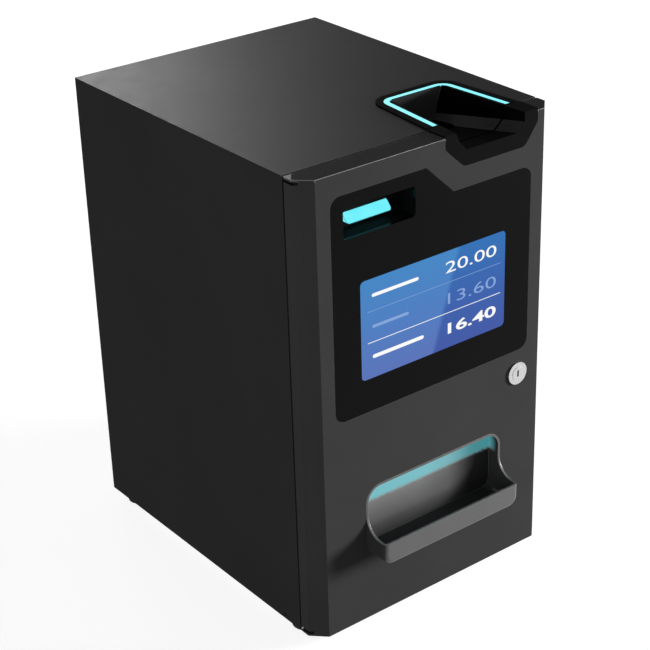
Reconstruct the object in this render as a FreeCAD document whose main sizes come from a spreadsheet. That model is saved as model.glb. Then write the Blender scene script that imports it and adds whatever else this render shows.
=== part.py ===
"""Coin changer dispenser: a counter-top cabinet that takes coins and notes and pays out change.

Cabinet coordinates are used while building: x from the middle, y from the front face of the
door, z from the cabinet's bottom edge. Every sub-part is then placed by the same offset, so
that the origin lies on the floor, midway between the tray's lip and the back edge.
"""
import FreeCAD, Part
import math
import os
import re
import Sketcher

doc = FreeCAD.newDocument("coin_changer")
sheet = doc.addObject("Spreadsheet::Sheet", "sheet")

DIMENSIONS = [
    # cabinet and door
    ("cab_w", 300), ("cab_d", 371), ("cab_h", 477), ("foot_h", 5.5), ("wall", 1.5),
    ("door_d", 25.4), ("seam", 2.2), ("cut_45", 14.5), ("door_wall", 1.6), ("loose", 0.1),
    # feet, anchor holes and case screws
    ("foot_x", 134), ("foot_front", 40), ("foot_rear", 341), ("foot_r", 14), ("foot_taper", 0.4),
    ("screw_r", 2.0), ("anchor_x", 136), ("anchor_front", 90), ("anchor_rear", 300), ("anchor_r", 4.5),
    ("base_t", 2), ("base_flange", 12), ("side_screw_z", 4.8), ("side_screw_front", 52),
    ("side_screw_rear", 346), ("head_r", 2.4), ("panel_inset", 4), ("panel_t", 1.5),
    # hinge
    ("hinge_x", -143.6), ("hinge_y", 15.2), ("pin_r", 2), ("eye_r", 3.2), ("plate_t", 3),
    ("notch_r", 3.8), ("lug_h", 9), ("pin_fit", 0.04),
    # front frame and lock
    ("frame_t", 2), ("frame_back", 0.8), ("stile_w", 17), ("rail_h", 12),
    ("lock_x", 107.4), ("lock_z", 205.4), ("lock_head_r", 12), ("barrel_r", 9.5), ("plug_r", 7),
    ("cam_y", 31.6), ("cam_t", 2), ("cam_len", 33), ("cam_w", 13),
    # fascia, screen and note inlet
    ("fascia_x", 120), ("fascia_top", 455), ("fascia_step", 423.4), ("fascia_bottom", 231),
    ("step_left", -10), ("step_right", 23), ("fascia_t", 4), ("fascia_r", 11),
    ("screen_x", 88.6), ("screen_top", 366), ("screen_bottom", 265), ("screen_r", 4.5),
    ("slot_left", -106), ("slot_right", -23.3), ("slot_top", 441.6), ("slot_bottom", 412),
    ("slot_r", 4), ("pocket_d", 25), ("tongue_left", -90.5), ("tongue_right", -39),
    ("module_x", 96), ("module_low", 256), ("module_high", 374), ("module_back", 11),
    ("board_x", 84), ("board_y", 13.9), ("board_t", 1.6), ("board_low", 266), ("board_high", 364),
    # coin inlet
    ("inlet_x", 69.8), ("rim_rise", 2), ("rim_half", 57.4), ("rim_half_rear", 47.9),
    ("rim_rear", 122), ("rim_r", 20), ("led_half", 48.2), ("led_half_rear", 41.2),
    ("led_rear", 115.2), ("led_r", 14), ("led_w", 6), ("collar_low", 444.8), ("collar_mid", 466),
    ("collar_left", 34.7), ("collar_right", 41.3), ("tub_z", 420), ("tub_wall", 2.5),
    ("well_half", 44.6), ("well_half_rear", 32), ("well_rear", 108.3), ("well_r", 7),
    ("well_right", 40.4), ("well_corner_r", 1.5),
    ("knee_half", 40.6), ("knee_drop", 7.4), ("knee_half_rear", 24), ("knee_drop_rear", 24.2),
    ("floor_half", 31.4), ("floor_drop", 16.6), ("floor_half_rear", 12), ("floor_drop_rear", 31.9),
    ("floor_r", 3), ("chute_front", 70), ("chute_half", 19.5),
    # coin tray
    ("tray_half", 86.6), ("tray_low", 73.5), ("tray_top", 148.6), ("tray_reach", 28),
    ("tray_lip", 98), ("tray_wall", 2.4), ("tray_back", 14), ("tray_sweep", 20),
    ("tray_r_top", 18), ("tray_r_low", 11), ("tray_r_front", 4.5), ("tray_floor", 77.5),
    ("drop_left", 30), ("drop_right", 76), ("duct_top", 217), ("duct_wall", 2), ("hand_low", 176),
    ("chute_front_y", 34), ("chute_low", 172), ("chute_high", 330),
    # coin hopper
    ("disc_x", 70), ("disc_y", 122), ("disc_z", 318), ("disc_r", 49), ("disc_t", 6),
    ("coin_hole_r", 13.6), ("coin_ring_r", 32.5), ("hub_r", 4), ("unit_half", 56),
    ("unit_base_z", 306), ("bowl_z", 328), ("bowl_h", 88), ("gear_z", 296), ("gear_t", 6),
    ("gear_module", 1.5), ("disc_teeth", 40), ("pinion_teeth", 14), ("unit_plate_t", 2.5),
    # notes
    ("note_x", -65), ("note_half", 53), ("note_path_z", 434), ("drive_y", 62), ("drive_r", 9),
    ("idler_r", 7), ("axle_r", 3), ("drum_y", 135), ("drum_z", 318), ("drum_r", 44),
    ("shelf_z", 206), ("shelf_t", 4), ("shelf_rear", 250), ("path_front", 32), ("path_rear", 200),
    ("path_low", 400), ("path_high", 468), ("path_wall", 4), ("tyre_w", 14), ("drum_half", 42),
    ("spool_motor_y", 225), ("spool_motor_z", 260), ("spool_motor_r", 18),
    ("cash_left", -122), ("cash_right", -6), ("cash_front", 50), ("cash_rear", 240),
    ("cash_top", 192), ("cash_wall", 3),
    # fan and rear fittings
    ("fan_x", 70), ("fan_z", 330), ("fan_half", 40), ("fan_r", 37.5), ("fan_depth", 25),
    ("rotor_r", 36.8), ("fan_hub_r", 16), ("inlet_port_x", -100), ("inlet_port_z", 60),
    ("switch_x", -60), ("switch_z", 60), ("rocker_half_w", 6.3), ("rocker_tilt", 7),
    ("port_left", -20), ("port_right", 44), ("port_low", 52), ("port_high", 68), ("port_depth", 16),
    # power supply and controller
    ("supply_left", -128), ("supply_right", -8), ("supply_front", 262), ("supply_rear", 352),
    ("supply_top", 44), ("pcb_x", 134.4), ("pcb_t", 1.6), ("pcb_front", 210), ("pcb_rear", 345),
    ("pcb_low", 120), ("pcb_high", 270),
]

for row, (alias, value) in enumerate(DIMENSIONS, start=1):
    sheet.set("A%d" % row, str(value))
    sheet.setAlias("A%d" % row, alias)
doc.recompute()

ALIASES = sorted((alias for alias, value in DIMENSIONS), key=len, reverse=True)
WORD = re.compile(r"\b(" + "|".join(ALIASES) + r")\b")

FRONT = "(door_d + seam)"                 # front edge of the cabinet
BACK = "(cab_d - panel_inset)"            # outer face of the rear panel
INSIDE = "(cab_w / 2 - wall)"             # half of the cabinet's inner width
CEILING = "(cab_h - wall)"                # underside of the cabinet's top
LOW_PLATE = "(base_t + 0.2)"              # underside of the lower hinge plate
HIGH_PLATE = "(cab_h - door_wall - 0.5 - plate_t)"    # underside of the upper one, below the door's top skin
PATH = "note_path_z"
node_objects = []
serial = [0]


def link(text):
    """Turn a formula in plain aliases into one that reads the sheet."""
    return WORD.sub(r"sheet.\1", str(text))


def size(alias):
    """The number behind an alias, for shapes that are computed point by point."""
    return float(sheet.get(alias))


def fresh(kind, stem):
    serial[0] += 1
    return doc.addObject(kind, "%s_%d" % (stem, serial[0]))


def put(obj, x, y, z):
    for axis, text in (("x", x), ("y", y), ("z", z)):
        obj.setExpression(".Placement.Base." + axis, link(text))
    return obj


def box(x0, x1, y0, y1, z0, z1):
    """A block between two corners, all six given as formulas."""
    obj = fresh("Part::Box", "block")
    obj.setExpression("Length", link("(%s) - (%s)" % (x1, x0)))
    obj.setExpression("Width", link("(%s) - (%s)" % (y1, y0)))
    obj.setExpression("Height", link("(%s) - (%s)" % (z1, z0)))
    return put(obj, x0, y0, z0)


TURNS = {
    "z": FreeCAD.Rotation(),
    "y": FreeCAD.Rotation(FreeCAD.Vector(1, 0, 0), -90),
    "x": FreeCAD.Rotation(FreeCAD.Vector(0, 1, 0), 90),
}


def rod(axis, x, y, z, radius, length):
    """A cylinder that starts at a point and runs along +axis."""
    obj = fresh("Part::Cylinder", "rod")
    obj.setExpression("Radius", link(radius))
    obj.setExpression("Height", link(length))
    obj.Placement = FreeCAD.Placement(FreeCAD.Vector(), TURNS[axis])
    return put(obj, x, y, z)


def cone(x, y, z, low_r, high_r, height):
    obj = fresh("Part::Cone", "cone")
    obj.setExpression("Radius1", link(low_r))
    obj.setExpression("Radius2", link(high_r))
    obj.setExpression("Height", link(height))
    return put(obj, x, y, z)


def fuse(*parts):
    if len(parts) == 1:
        return parts[0]
    obj = fresh("Part::MultiFuse", "union")
    obj.Shapes = list(parts)
    obj.Refine = True
    return obj


def cut(base, *tools):
    obj = fresh("Part::Cut", "cut")
    obj.Base = base
    obj.Tool = fuse(*tools)
    obj.Refine = True
    return obj


def common(first, second):
    obj = fresh("Part::Common", "common")
    obj.Base = first
    obj.Tool = second
    obj.Refine = True
    return obj


def group(*parts):
    """Separate solids that share one node."""
    obj = fresh("Part::Compound", "group")
    obj.Links = list(parts)
    return obj


def prism(plane, outline, start, thick, rounds=()):
    """Pad of a closed outline. Plane XY starts at a z, XZ at a y, YZ at an x.

    rounds holds (corner numbers, radius) pairs for the edges along the pad.
    """
    body = fresh("PartDesign::Body", "body")
    sketch = body.newObject("Sketcher::SketchObject", body.Name + "_outline")
    role = plane + "_Plane"
    support = [item for item in body.Origin.OriginFeatures if item.Role == role][0]
    sketch.AttachmentSupport = [(support, "")]
    sketch.MapMode = "FlatFace"
    if plane == "XZ":
        offset = "-((%s) + (%s))" % (start, thick)
    else:
        offset = start
    sketch.setExpression("AttachmentOffset.Base.z", link(offset))
    count = len(outline)
    corners = [
        FreeCAD.Vector(10 * math.cos(2 * math.pi * i / count), 10 * math.sin(2 * math.pi * i / count))
        for i in range(count)
    ]
    for i in range(count):
        sketch.addGeometry(Part.LineSegment(corners[i], corners[(i + 1) % count]))
    for i in range(count):
        sketch.addConstraint(Sketcher.Constraint("Coincident", i, 2, (i + 1) % count, 1))
    for i, (u, v) in enumerate(outline):
        for kind, text, guess in (("DistanceX", u, corners[i].x), ("DistanceY", v, corners[i].y)):
            number = sketch.addConstraint(Sketcher.Constraint(kind, -1, 1, i, 1, guess))
            sketch.setExpression("Constraints[%d]" % number, link(text))
    pad = body.newObject("PartDesign::Pad", body.Name + "_pad")
    pad.Profile = sketch
    pad.setExpression("Length", link(thick))
    doc.recompute()
    last = pad
    normal = {"XY": "z", "XZ": "y", "YZ": "x"}[plane]
    for picked, radius in rounds:
        places = [sketch.Placement.multVec(sketch.Geometry[i].StartPoint) for i in picked]
        names = edges_through(last.Shape, places, normal)
        fillet = body.newObject("PartDesign::Fillet", "%s_round_%d" % (body.Name, len(body.Group)))
        fillet.Base = (last, names)
        fillet.setExpression("Radius", link(radius))
        doc.recompute()
        last = fillet
    body.Tip = last
    return body


def edges_through(shape, places, normal):
    """Names of the straight edges that run along an axis through the given points."""
    flat = [axis for axis in "xyz" if axis != normal]
    names = []
    for number, edge in enumerate(shape.Edges, start=1):
        ends = [vertex.Point for vertex in edge.Vertexes]
        if len(ends) != 2 or abs(getattr(ends[0] - ends[1], normal)) < 1e-6:
            continue
        for place in places:
            gaps = [abs(getattr(end, axis) - getattr(place, axis)) for end in ends for axis in flat]
            if max(gaps) < 1e-4:
                names.append("Edge%d" % number)
    return names


def round_edges(base, radius, wanted):
    """Fillet the edges of a shape for which wanted(edge) is true."""
    doc.recompute()
    radius = size(radius)
    obj = fresh("Part::Fillet", "rounded")
    obj.Base = base
    obj.Edges = [(number, radius, radius) for number, edge in enumerate(base.Shape.Edges, start=1)
                 if wanted(edge)]
    return obj


def solid(shape, stem):
    """A computed shape as an object of the document."""
    obj = fresh("Part::Feature", stem)
    obj.Shape = shape
    return obj


def node(label, obj):
    """Name a finished sub-part and set it in the part's own frame."""
    if obj.TypeId in ("Part::Box", "Part::Cylinder", "Part::Feature"):
        obj = group(obj)
    obj.Label = label
    obj.setExpression(".Placement.Base.y", link("-(cab_d - tray_reach) / 2"))
    obj.setExpression(".Placement.Base.z", link("foot_h"))
    node_objects.append(obj)
    return obj


def mirrored_pairs(x, ys):
    return [(sign + x, y) for sign in ("-", "") for y in ys]


# ---------------------------------------------------------------- cabinet

def side_screw_places():
    return [("-", "side_screw_front"), ("-", "side_screw_rear"),
            ("", "side_screw_front"), ("", "side_screw_rear")]


def side_rods(radius, depth, start="0"):
    """Rods that go in from both sides of the cabinet at the case screws."""
    rods = []
    for sign, y in side_screw_places():
        if sign:
            x = "-cab_w / 2 + (%s)" % start
        else:
            x = "cab_w / 2 - (%s) - (%s)" % (start, depth)
        rods.append(rod("x", x, y, "side_screw_z", radius, depth))
    return rods


def rim_outline(half, half_rear, y0, y1):
    """A trapezoid about the inlet's middle that narrows towards the rear."""
    return [("inlet_x - (%s)" % half, y0), ("inlet_x + (%s)" % half, y0),
            ("inlet_x + (%s)" % half_rear, y1), ("inlet_x - (%s)" % half_rear, y1)]


def make_shell():
    outer = box("-cab_w / 2", "cab_w / 2", FRONT, "cab_d", "0", "cab_h")
    inner = box("-" + INSIDE, INSIDE, "0", "cab_d + 5", "-5", CEILING)
    opening = prism("XY", rim_outline("well_half + 5", "well_half_rear + 5", FRONT + " - 1", "well_rear + 5"),
                    "cab_h - 10", "20", [((2, 3), "well_r + 4")])
    node("cabinet_shell", cut(outer, inner, opening, *side_rods("head_r + loose", "wall + 1", "-0.5")))


def make_base():
    inner_x = "(%s - loose)" % INSIDE
    rear = "(%s - panel_t - loose)" % BACK
    pan = box("-" + inner_x, inner_x, FRONT, rear, "0", "base_flange")
    hollow = box("-(%s - base_t)" % inner_x, "%s - base_t" % inner_x, "0", "cab_d", "base_t", "30")
    front_gap = box("-cab_w / 2", "cab_w / 2", "0", "side_screw_front - 5", "base_t", "30")
    holes = [rod("z", x, y, "-1", "anchor_r", "base_t + 2")
             for x, y in mirrored_pairs("anchor_x", ("anchor_front", "anchor_rear"))]
    foot_holes = [rod("z", x, y, "-1", "screw_r + loose", "base_t + 2")
                  for x, y in mirrored_pairs("foot_x", ("foot_front", "foot_rear"))]
    sides = side_rods("screw_r + loose", "base_t + 2", "wall - 0.5")
    node("base_plate", cut(pan, hollow, front_gap, *(holes + foot_holes + sides)))
    heads = side_rods("head_r", "wall", "0.1")
    shafts = side_rods("screw_r", "6", "wall")
    node("base_screws", group(*[fuse(head, shaft) for head, shaft in zip(heads, shafts)]))


def make_feet():
    feet = []
    screws = []
    for x, y in mirrored_pairs("foot_x", ("foot_front", "foot_rear")):
        low = cone(x, y, "-foot_h", "foot_r - foot_taper", "foot_r", "foot_h * 0.4")
        high = rod("z", x, y, "-foot_h * 0.6", "foot_r", "foot_h * 0.6")
        bore = rod("z", x, y, "-foot_h - 1", "screw_r + loose", "foot_h + 2")
        sink = rod("z", x, y, "-foot_h - 1", "screw_r * 2 + loose", "foot_h / 2 + 1")
        feet.append(cut(fuse(low, high), bore, sink))
        head = rod("z", x, y, "-foot_h / 2 - 2", "screw_r * 2", "2")
        shank = rod("z", x, y, "-foot_h / 2 - 1", "screw_r", "foot_h / 2 + 6")
        screws.append(fuse(head, shank))
    node("rubber_feet", group(*feet))
    node("foot_screws", group(*screws))


def vent_slots(x0, columns, z0, rows, pitch_x, pitch_z, length, height):
    """Rows of long vents through the rear panel."""
    slots = []
    for i in range(columns):
        for j in range(rows):
            x = "(%s) + %g" % (x0, i * pitch_x)
            z = "(%s) + %g" % (z0, j * pitch_z)
            slots.append(box(x, "%s + %g" % (x, length), "%s - 10" % BACK, "cab_d + 1",
                             z, "%s + %g" % (z, height)))
    return slots


def fan_grille():
    """Three rings of round holes in front of the fan."""
    holes = []
    for radius, count, hole_r in ((9, 6, 3.2), (18, 12, 3.2), (27, 18, 3.2)):
        for i in range(count):
            turn = 2 * math.pi * i / count
            holes.append(rod("y", "fan_x + %.3f" % (radius * math.cos(turn)), "%s - 6" % BACK,
                             "fan_z + %.3f" % (radius * math.sin(turn)), hole_r, "12"))
    return holes


def make_rear_panel():
    inner_x = "(%s - loose)" % INSIDE
    sheet_metal = box("-" + inner_x, inner_x, BACK + " - panel_t", BACK, "0.2", CEILING + " - loose")
    through = BACK + " - 6"
    mains = box("inlet_port_x - 13.8", "inlet_port_x + 13.8", through, "cab_d", "inlet_port_z - 10.2",
                "inlet_port_z + 10.2")
    switch = box("switch_x - 9", "switch_x + 9", through, "cab_d", "switch_z - 13", "switch_z + 13")
    ports = box("port_left", "port_right", through, "cab_d", "port_low", "port_high")
    screws = [rod("y", x, through, z, "screw_r + loose", "10") for x, z in rear_screw_places()]
    tools = [mains, switch, ports] + screws + fan_grille()
    tools += vent_slots("-125", 5, "200", 6, 24, 10, 18, 3.5)
    node("rear_panel", cut(sheet_metal, *tools))
    heads = []
    for x, z in rear_screw_places():
        head = rod("y", x, BACK, z, "3.2", "2")
        shank = rod("y", x, BACK + " - 6", z, "screw_r", "7")
        heads.append(fuse(head, shank))
    node("rear_screws", group(*heads))


def rear_screw_places():
    return [(x, z) for x in ("-138", "0", "138") for z in ("20", "462")]


def make_front_frame():
    inner_x = "(%s - loose)" % INSIDE
    y0 = FRONT + " + frame_back"
    y1 = y0 + " + frame_t"
    ring = box("-" + inner_x, inner_x, y0, y1, "base_t + loose", CEILING + " - loose")
    opening = box("-(cab_w / 2 - stile_w)", "cab_w / 2 - stile_w", "0", "60",
                  "base_t + rail_h", CEILING + " - rail_h")
    top_gap = box("inlet_x - rim_half - 2", "inlet_x + rim_half + 2", "0", "60", "cab_h - 70", "cab_h")
    hinges = [box("-cab_w / 2", "-118", "0", "60", "0", "base_t + plate_t + 1"),
              box("-cab_w / 2", "-118", "0", "60", HIGH_PLATE + " - 1", "cab_h")]
    node("front_frame", cut(ring, opening, top_gap, *hinges))
    keeper = box("cab_w / 2 - stile_w - 1", "cab_w / 2 - wall - 2", y1 + " + 3.4", y1 + " + 5.4",
                 "lock_z - 20", "lock_z + 20")
    web = box("cab_w / 2 - wall - 4", "cab_w / 2 - wall - 2", y1, y1 + " + 5.4",
              "lock_z - 20", "lock_z + 20")
    node("lock_keeper", fuse(keeper, web))


def hinge_plate(z0):
    """Plate that reaches out from the cabinet to the eye under the door's corner."""
    arm = prism("XY", [("hinge_x - eye_r", "hinge_y"), ("hinge_x + eye_r", "hinge_y"),
                       ("hinge_x + eye_r + 1.4", "27"), ("-120", "31"), ("-120", "46"),
                       ("-147", "46"), ("-147", "27")], z0, "plate_t")
    eye = rod("z", "hinge_x", "hinge_y", z0, "eye_r", "plate_t")
    bore = rod("z", "hinge_x", "hinge_y", "(%s) - 1" % z0, "pin_r", "plate_t + 2")
    screw_hole = rod("z", "-foot_x", "foot_front", "(%s) - 1" % z0, "screw_r + loose", "plate_t + 2")
    return cut(fuse(arm, eye), bore, screw_hole)


def make_hinges():
    node("hinge_plate_bottom", hinge_plate(LOW_PLATE))
    pad = box("-147", "-120", "32", "46", HIGH_PLATE + " + plate_t - 0.5", CEILING + " - 0.2")
    screw_room = rod("z", "-foot_x", "foot_front", HIGH_PLATE, "screw_r + loose", "plate_t + 3")
    node("hinge_plate_top", fuse(hinge_plate(HIGH_PLATE), cut(pad, screw_room)))
    low_pin = rod("z", "hinge_x", "hinge_y", LOW_PLATE, "pin_r", "plate_t + lug_h + 0.3")
    high_pin = rod("z", "hinge_x", "hinge_y", HIGH_PLATE + " - lug_h - 0.3", "pin_r",
                   "plate_t + lug_h + 0.3")
    node("hinge_pins", group(low_pin, high_pin))
    lugs = []
    for z0 in (LOW_PLATE + " + plate_t + 0.3", HIGH_PLATE + " - lug_h - 0.3"):
        block = prism("XY", [("hinge_x - 4", "hinge_y - 0.6"), ("hinge_x + 8.7", "door_wall + 0.3"),
                             ("hinge_x + 24", "door_wall + 0.3"), ("hinge_x + 24", "hinge_y + 4"),
                             ("hinge_x - 2", "hinge_y + 7"), ("hinge_x - 4", "hinge_y + 6")],
                      z0, "lug_h", [((4, 5), "1.5")])
        bore = rod("z", "hinge_x", "hinge_y", "(%s) - 1" % z0, "pin_r + pin_fit", "lug_h + 2")
        lugs.append(cut(block, bore))
    node("door_hinge_lugs", group(*lugs))


# ---------------------------------------------------------------- coin inlet

def trough_section(y):
    """Cross-section of the trough at a depth: steep walls, two slopes and a narrow floor."""
    share = y / size("well_rear")

    def between(alias, rear=None):
        return size(alias) + share * (size(rear or alias + "_rear") - size(alias))

    knee, knee_z = between("knee_half"), -between("knee_drop")
    rise = size("rim_rise")

    def wall_top(half):
        return half + (half - knee) / (rise - knee_z), rise + 1

    low = (between("floor_half"), -between("floor_drop"))
    right = [wall_top(between("well_right", "well_half_rear")), (knee, knee_z), low]
    left = [(-across, height) for across, height in (low, (knee, knee_z), wall_top(between("well_half")))]
    points = [FreeCAD.Vector(size("inlet_x") + across, y, size("cab_h") + height)
              for across, height in right + left]
    return Part.makePolygon(points + points[:1])


def trough(y0):
    """The hollow of the inlet, which narrows and falls towards the rear."""
    rear = size("well_rear")
    top = size("cab_h")

    def across(point):
        return abs(point.x - size("inlet_x"))

    def along_floor(edge):
        ends = [vertex.Point for vertex in edge.Vertexes]
        return abs(ends[0].y - ends[1].y) > 1 and max(across(end) for end in ends) < size("floor_half") + 5

    def up_rear_corner(edge):
        ends = sorted([vertex.Point for vertex in edge.Vertexes], key=across)
        return (min(end.y for end in ends) > rear - 1 and across(ends[0]) > size("knee_half_rear") - 1
                and ends[1].z > top)

    loft = solid(Part.makeLoft([trough_section(y0), trough_section(rear)], True, True), "trough")
    return round_edges(round_edges(loft, "floor_r", along_floor), "well_corner_r", up_rear_corner)


def led_ring(grow, depth, height):
    """U-shaped bar round the inlet, open towards the door."""
    front = FRONT + " + 0.3"
    outer = prism("XY", rim_outline("led_half + %g" % grow, "led_half_rear + %g" % grow, front,
                                    "led_rear + %g" % grow), depth, height, [((2, 3), "led_r")])
    inner = prism("XY", rim_outline("led_half - led_w - %g" % grow, "led_half_rear - led_w - %g" % grow,
                                    front + " - 1", "led_rear - led_w - %g" % grow),
                  "(%s) - 5" % depth, "(%s) + 10" % height, [((2, 3), "led_r - led_w")])
    return cut(outer, inner)


def make_inlet():
    front = FRONT
    flange = prism("XY", rim_outline("rim_half - 1.2", "rim_half_rear", front, "rim_rear"),
                   "cab_h + 0.05", "rim_rise - 0.05", [((2, 3), "rim_r")])
    tub = prism("XY", rim_outline("well_half + tub_wall", "well_half_rear + tub_wall", front,
                                  "well_rear + tub_wall"), "tub_z", "cab_h + 1 - tub_z",
                [((2, 3), "well_corner_r + tub_wall")])
    drop = prism("XY", rim_outline("chute_half", "chute_half - 2", "chute_front", "well_rear - 2"),
                 "tub_z - 10", "60", [((0, 1, 2, 3), "well_r")])
    under = prism("XY", rim_outline("well_half + tub_wall + 1", "well_half + tub_wall + 1",
                                    front + " - 1", "chute_front - 4"), "tub_z - 10", "36")
    groove = led_ring(0.35, "cab_h + rim_rise - 1.5", "5")
    node("coin_inlet_funnel", cut(fuse(flange, tub), trough(0), drop, under, groove))
    node("inlet_light_strip", led_ring(-0.25, "cab_h + rim_rise - 1.4", "1"))


def collar_outline(grow):
    """Front view of the collar, steeper on the right; larger by grow for the door's notch."""
    side = "(rim_half + %g)" % grow
    left = "(collar_left + %g)" % (0.4 * grow)
    right = "(collar_right + %g)" % (0.4 * grow)
    low = "collar_low - %g" % grow
    return [("inlet_x - " + side, "cab_h + rim_rise"), ("inlet_x - " + side, "collar_mid"),
            ("inlet_x - " + left, low), ("inlet_x + " + right, low),
            ("inlet_x + " + side, "collar_mid"), ("inlet_x + " + side, "cab_h + rim_rise")]


def make_collar():
    block = prism("XZ", collar_outline(0), "0", "door_d", [((2, 3), "10"), ((1, 4), "3")])
    relief = prism("XZ", [("inlet_x - 50", "tub_z - 10"), ("inlet_x + 50", "tub_z - 10"),
                          ("inlet_x + 28", "collar_low + 7"), ("inlet_x - 28", "collar_low + 7")],
                   "3", "door_d")
    node("coin_inlet_collar", cut(block, trough(-size("cut_45")), relief))


# ---------------------------------------------------------------- door

def door_outline(inset):
    half = "(cab_w / 2 - %g)" % inset
    slope = "(cut_45 + %.4f)" % (inset * (math.sqrt(2) - 1))
    rear = "door_d" if inset == 0 else "(door_d + 5)"
    return [("-" + half, rear), ("-" + half, slope), ("-(cab_w / 2 - %s)" % slope, "%g" % inset),
            ("cab_w / 2 - %s" % slope, "%g" % inset), (half, slope), (half, rear)]


def hinge_notch(z0, height):
    """Room for the fixed hinge plate while the door turns round it."""
    sweep = prism("XY", [("-cab_w / 2 - 3", "8.4"), ("hinge_x", "hinge_y - 4.1"),
                         ("hinge_x + 3.4", "hinge_y - 2.4"), ("hinge_x + 9.6", "door_d + 3"),
                         ("-cab_w / 2 - 3", "door_d + 3")], z0, height)
    eye = rod("z", "hinge_x", "hinge_y", z0, "notch_r", height)
    return fuse(sweep, eye)


def make_door_shell():
    inset = size("door_wall")
    outer = prism("XY", door_outline(0), "0", "cab_h")
    hollow = prism("XY", door_outline(inset), "door_wall", "cab_h - 2 * door_wall")
    collar = prism("XZ", collar_outline(0.15), "-5", "door_d + 10", [((2, 3), "10"), ((1, 4), "3")])
    fascia = prism("XZ", fascia_outline(0.15), "-5", "20", [((0, 1, 2, 5), "fascia_r"), ((3, 4), "3")])
    tray = prism("XZ", tray_outline(-0.15), "-5", "20", TRAY_ROUNDS)
    lock = rod("y", "lock_x", "-5", "lock_z", "barrel_r + loose", "20")
    notches = [hinge_notch(low + " - 0.3", "plate_t + 0.6") for low in (LOW_PLATE, HIGH_PLATE)]
    node("door_shell", cut(outer, hollow, collar, fascia, tray, lock, *notches))


def fascia_outline(grow):
    """Front view of the fascia, with the step in its top right corner."""
    g = "%g" % grow
    return [("-fascia_x - " + g, "fascia_bottom - " + g), ("fascia_x + " + g, "fascia_bottom - " + g),
            ("fascia_x + " + g, "fascia_step + " + g), ("step_right + " + g, "fascia_step + " + g),
            ("step_left + " + g, "fascia_top + " + g), ("-fascia_x - " + g, "fascia_top + " + g)]


def rect(x0, x1, z0, z1):
    return [(x0, z0), (x1, z0), (x1, z1), (x0, z1)]


def make_display():
    face = prism("XZ", fascia_outline(0), "0", "fascia_t", [((0, 1, 2, 5), "fascia_r"), ((3, 4), "3")])
    flange = prism("XZ", fascia_outline(4), "door_wall + loose", "fascia_t - door_wall - loose",
                   [((0, 1, 2, 5), "fascia_r + 4")])
    panel = fuse(face, flange)
    window = prism("XZ", rect("-screen_x", "screen_x", "screen_bottom", "screen_top"), "-5", "20",
                   [((0, 1, 2, 3), "screen_r")])
    slot = prism("XZ", rect("slot_left", "slot_right", "slot_bottom", "slot_top"), "-5", "20",
                 [((0, 1, 2, 3), "slot_r")])
    node("display_fascia", cut(panel, window, slot))
    lit = prism("XZ", rect("-screen_x + loose", "screen_x - loose", "screen_bottom + loose",
                           "screen_top - loose"), "0.1", "fascia_t - 0.2",
                [((0, 1, 2, 3), "screen_r")])
    node("display_screen", lit)
    module = box("-module_x", "module_x", "fascia_t + 0.1", "module_back", "module_low", "module_high")
    lugs = [rod("y", x, "module_back - 1", z, "3", "board_y - module_back + 0.9")
            for x in ("-module_x + 20", "module_x - 20") for z in ("module_low + 16", "module_high - 16")]
    node("display_module", fuse(module, *lugs))
    board = box("-board_x", "board_x", "board_y", "board_y + board_t", "board_low", "board_high")
    chips = [box("-30", "10", "15", "17.5", "300", "336"), box("30", "44", "15", "18.5", "310", "324"),
             box("-70", "-50", "15", "21", "270", "282"), box("50", "74", "15", "20", "346", "358")]
    node("display_board", fuse(board, *chips))


def make_note_inlet():
    outer = box("slot_left - 3", "slot_right + 3", "fascia_t + 0.1", "pocket_d", "slot_bottom - 3",
                "slot_top + 3")
    inner = box("slot_left", "slot_right", "0", "pocket_d - 2", "slot_bottom", "slot_top")
    path = box("slot_left + 2", "slot_right - 2", "10", "pocket_d + 5", PATH + " - 3", PATH + " + 4")
    node("note_inlet_bezel", cut(outer, inner, path))
    wedge = prism("YZ", [("14", "slot_bottom + 6.3"), ("pocket_d - 2", "slot_bottom + 6.3"),
                         ("pocket_d - 2", "slot_bottom + 15"), ("20.5", "slot_bottom + 13.5")],
                  "tongue_left", "tongue_right - tongue_left")
    face = prism("XZ", rect("tongue_left", "tongue_right", "slot_bottom + 6.3", "slot_bottom + 20"), "10",
                 "20", [((0, 1), "3")])
    node("note_inlet_light", common(wedge, face))


# ---------------------------------------------------------------- coin tray

TRAY_ROUNDS = [((0, 1), "tray_r_low"), ((2, 3), "tray_r_top")]


def tray_outline(inset):
    """Front view of the tray."""
    g = "%g" % inset
    return rect("-tray_half + " + g, "tray_half - " + g, "tray_low + " + g, "tray_top - " + g)


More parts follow.
